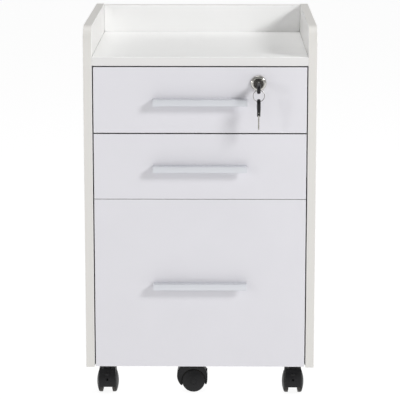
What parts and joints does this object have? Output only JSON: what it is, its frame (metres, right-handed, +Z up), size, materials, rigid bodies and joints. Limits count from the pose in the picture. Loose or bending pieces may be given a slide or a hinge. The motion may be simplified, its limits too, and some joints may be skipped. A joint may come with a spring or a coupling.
{
  "type": "rolling pedestal cabinet",
  "caption": "Rolling pedestal cabinet: white board case with a raised edge round its top, two shallow lockable drawers over a deep file drawer, on swivel casters.",
  "frame": {"origin": "on the floor, under the middle of the whole object's box, counting the key in the lock", "axes": "+Z up, front towards -Y, +X to the right seen from the front"},
  "size_m": [0.4, 0.4408, 0.66],
  "materials": {
    "case_board": "white melamine-faced board, fine texture",
    "front_board": "white melamine-faced board, fine texture",
    "drawer_board": "white melamine-faced board",
    "base_board": "white lacquered fibreboard",
    "zinc_steel": "bright zinc plate",
    "aluminium": "mill finish",
    "handle_metal": "satin anodised",
    "caster_nylon": "moulded, satin",
    "caster_tread": "moulded, satin",
    "lock_chrome": "bright nickel",
    "key_steel": "bright nickel",
    "key_plastic": "moulded, satin"
  },
  "bodies": {
    "case": {"left_side_panel": "case_board", "right_side_panel": "case_board", "top_panel": "case_board", "bottom_panel": "case_board", "back_panel": "case_board", "cam_fittings": "zinc_steel", "cabinet_rails": "zinc_steel", "slide_rail_screws": "zinc_steel", "caster_plates": "zinc_steel", "caster_plate_screws": "zinc_steel", "lock_strike": "zinc_steel"},
    "top_drawer": {"top_drawer_front": "front_board", "top_drawer_sides": "drawer_board", "top_drawer_back": "drawer_board", "top_drawer_base": "base_board", "top_drawer_rails": "zinc_steel", "top_drawer_handle": "handle_metal", "lock_case": "lock_chrome", "lock_rosette": "lock_chrome"},
    "top_drawer_middle_rails": {"top_drawer_middle_rails": "zinc_steel"},
    "middle_drawer": {"middle_drawer_front": "front_board", "middle_drawer_sides": "drawer_board", "middle_drawer_back": "drawer_board", "middle_drawer_base": "base_board", "middle_drawer_rails": "zinc_steel", "middle_drawer_handle": "handle_metal"},
    "middle_drawer_middle_rails": {"middle_drawer_middle_rails": "zinc_steel"},
    "bottom_drawer": {"bottom_drawer_front": "front_board", "bottom_drawer_sides": "drawer_board", "bottom_drawer_back": "drawer_board", "bottom_drawer_base": "base_board", "bottom_drawer_rails": "zinc_steel", "bottom_drawer_handle": "handle_metal", "file_rails": "aluminium", "drawer_caster_block": "drawer_board", "drawer_caster_plate": "zinc_steel", "drawer_caster_screws": "zinc_steel"},
    "bottom_drawer_middle_rails": {"bottom_drawer_middle_rails": "zinc_steel"},
    "lock_plug": {"lock_plug": "lock_chrome"},
    "lock_bolt": {"lock_bolt": "lock_chrome"},
    "key": {"key_blade": "key_steel"},
    "key_head": {"key_head": "key_plastic"},
    "key_ring": {"key_ring": "key_steel"},
    "spare_key": {"spare_key_blade": "key_steel", "spare_key_head": "key_plastic"},
    "front_left_caster": {"front_left_caster_hood": "caster_nylon"},
    "front_left_caster_wheel_a": {"front_left_caster_wheel_a": "caster_tread"},
    "front_left_caster_wheel_b": {"front_left_caster_wheel_b": "caster_tread"},
    "front_right_caster": {"front_right_caster_hood": "caster_nylon"},
    "front_right_caster_wheel_a": {"front_right_caster_wheel_a": "caster_tread"},
    "front_right_caster_wheel_b": {"front_right_caster_wheel_b": "caster_tread"},
    "rear_left_caster": {"rear_left_caster_hood": "caster_nylon"},
    "rear_left_caster_wheel_a": {"rear_left_caster_wheel_a": "caster_tread"},
    "rear_left_caster_wheel_b": {"rear_left_caster_wheel_b": "caster_tread"},
    "rear_right_caster": {"rear_right_caster_hood": "caster_nylon"},
    "rear_right_caster_wheel_a": {"rear_right_caster_wheel_a": "caster_tread"},
    "rear_right_caster_wheel_b": {"rear_right_caster_wheel_b": "caster_tread"},
    "drawer_caster": {"drawer_caster_hood": "caster_nylon"},
    "drawer_caster_wheel_a": {"drawer_caster_wheel_a": "caster_tread"},
    "drawer_caster_wheel_b": {"drawer_caster_wheel_b": "caster_tread"}
  },
  "joints": [
    {"name": "top_drawer_slide", "type": "slide", "parent": "case", "child": "top_drawer", "axis": [0, -1, 0], "range_m": [0, 0.33]},
    {"name": "top_drawer_middle_rail_slide", "type": "slide", "parent": "case", "child": "top_drawer_middle_rails", "axis": [0, -1, 0], "range_m": [0, 0.165]},
    {"name": "middle_drawer_slide", "type": "slide", "parent": "case", "child": "middle_drawer", "axis": [0, -1, 0], "range_m": [0, 0.33]},
    {"name": "middle_drawer_middle_rail_slide", "type": "slide", "parent": "case", "child": "middle_drawer_middle_rails", "axis": [0, -1, 0], "range_m": [0, 0.165]},
    {"name": "bottom_drawer_slide", "type": "slide", "parent": "case", "child": "bottom_drawer", "axis": [0, -1, 0], "range_m": [0, 0.33]},
    {"name": "bottom_drawer_middle_rail_slide", "type": "slide", "parent": "case", "child": "bottom_drawer_middle_rails", "axis": [0, -1, 0], "range_m": [0, 0.165]},
    {"name": "lock_turn", "type": "hinge", "parent": "top_drawer", "child": "lock_plug", "pos_m": [0.1, -0.17965, 0.5637], "axis": [0, -1, 0], "range_deg": [0, 90]},
    {"name": "lock_bolt_slide", "type": "slide", "parent": "top_drawer", "child": "lock_bolt", "axis": [0, 0, 1], "range_m": [0, 0.0066]},
    {"name": "key_pull", "type": "slide", "parent": "lock_plug", "child": "key", "axis": [0, -1, 0], "range_m": [0, 0.025]},
    {"name": "key_fold", "type": "hinge", "parent": "key", "child": "key_head", "pos_m": [0.1, -0.19215, 0.5637], "axis": [1, 0, 0], "range_deg": [-65, 70]},
    {"name": "key_ring_swing", "type": "hinge", "parent": "key_head", "child": "key_ring", "pos_m": [0.1, -0.21235, 0.55635], "axis": [1, 0, 0], "range_deg": [-70.5, 65.5]},
    {"name": "spare_key_swing", "type": "hinge", "parent": "key_ring", "child": "spare_key", "pos_m": [0.1, -0.21235, 0.54625], "axis": [0, -1, 0], "range_deg": [-90.5, 0.5]},
    {"name": "front_left_caster_swivel", "type": "hinge", "parent": "case", "child": "front_left_caster", "pos_m": [-0.165, -0.13665, 0.04], "axis": [0, 0, 1], "continuous": true},
    {"name": "front_left_caster_wheel_a_spin", "type": "hinge", "parent": "front_left_caster", "child": "front_left_caster_wheel_a", "pos_m": [-0.165, -0.12465, 0.0205], "axis": [1, 0, 0], "continuous": true},
    {"name": "front_left_caster_wheel_b_spin", "type": "hinge", "parent": "front_left_caster", "child": "front_left_caster_wheel_b", "pos_m": [-0.165, -0.12465, 0.0205], "axis": [1, 0, 0], "continuous": true},
    {"name": "front_right_caster_swivel", "type": "hinge", "parent": "case", "child": "front_right_caster", "pos_m": [0.165, -0.13665, 0.04], "axis": [0, 0, 1], "continuous": true},
    {"name": "front_right_caster_wheel_a_spin", "type": "hinge", "parent": "front_right_caster", "child": "front_right_caster_wheel_a", "pos_m": [0.165, -0.12465, 0.0205], "axis": [1, 0, 0], "continuous": true},
    {"name": "front_right_caster_wheel_b_spin", "type": "hinge", "parent": "front_right_caster", "child": "front_right_caster_wheel_b", "pos_m": [0.165, -0.12465, 0.0205], "axis": [1, 0, 0], "continuous": true},
    {"name": "rear_left_caster_swivel", "type": "hinge", "parent": "case", "child": "rear_left_caster", "pos_m": [-0.165, 0.17735, 0.04], "axis": [0, 0, 1], "continuous": true},
    {"name": "rear_left_caster_wheel_a_spin", "type": "hinge", "parent": "rear_left_caster", "child": "rear_left_caster_wheel_a", "pos_m": [-0.165, 0.16535, 0.0205], "axis": [-1, 0, 0], "continuous": true},
    {"name": "rear_left_caster_wheel_b_spin", "type": "hinge", "parent": "rear_left_caster", "child": "rear_left_caster_wheel_b", "pos_m": [-0.165, 0.16535, 0.0205], "axis": [-1, 0, 0], "continuous": true},
    {"name": "rear_right_caster_swivel", "type": "hinge", "parent": "case", "child": "rear_right_caster", "pos_m": [0.165, 0.17735, 0.04], "axis": [0, 0, 1], "continuous": true},
    {"name": "rear_right_caster_wheel_a_spin", "type": "hinge", "parent": "rear_right_caster", "child": "rear_right_caster_wheel_a", "pos_m": [0.165, 0.16535, 0.0205], "axis": [-1, 0, 0], "continuous": true},
    {"name": "rear_right_caster_wheel_b_spin", "type": "hinge", "parent": "rear_right_caster", "child": "rear_right_caster_wheel_b", "pos_m": [0.165, 0.16535, 0.0205], "axis": [-1, 0, 0], "continuous": true},
    {"name": "drawer_caster_swivel", "type": "hinge", "parent": "bottom_drawer", "child": "drawer_caster", "pos_m": [0, -0.12115, 0.04], "axis": [0, 0, 1], "continuous": true},
    {"name": "drawer_caster_wheel_a_spin", "type": "hinge", "parent": "drawer_caster", "child": "drawer_caster_wheel_a", "pos_m": [-0.012, -0.12115, 0.0225], "axis": [0, 1, 0], "continuous": true},
    {"name": "drawer_caster_wheel_b_spin", "type": "hinge", "parent": "drawer_caster", "child": "drawer_caster_wheel_b", "pos_m": [-0.012, -0.12115, 0.0225], "axis": [0, 1, 0], "continuous": true}
  ],
  "couplings": [
    {"joint": "top_drawer_middle_rail_slide", "follows": "top_drawer_slide", "ratio": 0.5},
    {"joint": "middle_drawer_middle_rail_slide", "follows": "middle_drawer_slide", "ratio": 0.5},
    {"joint": "bottom_drawer_middle_rail_slide", "follows": "bottom_drawer_slide", "ratio": 0.5},
    {"joint": "lock_bolt_slide", "follows": "lock_turn", "m_per_rad": 0.004138},
    {"joint": "key_ring_swing", "follows": "key_fold", "ratio": -1},
    {"joint": "spare_key_swing", "follows": "lock_turn", "ratio": -1}
  ]
}
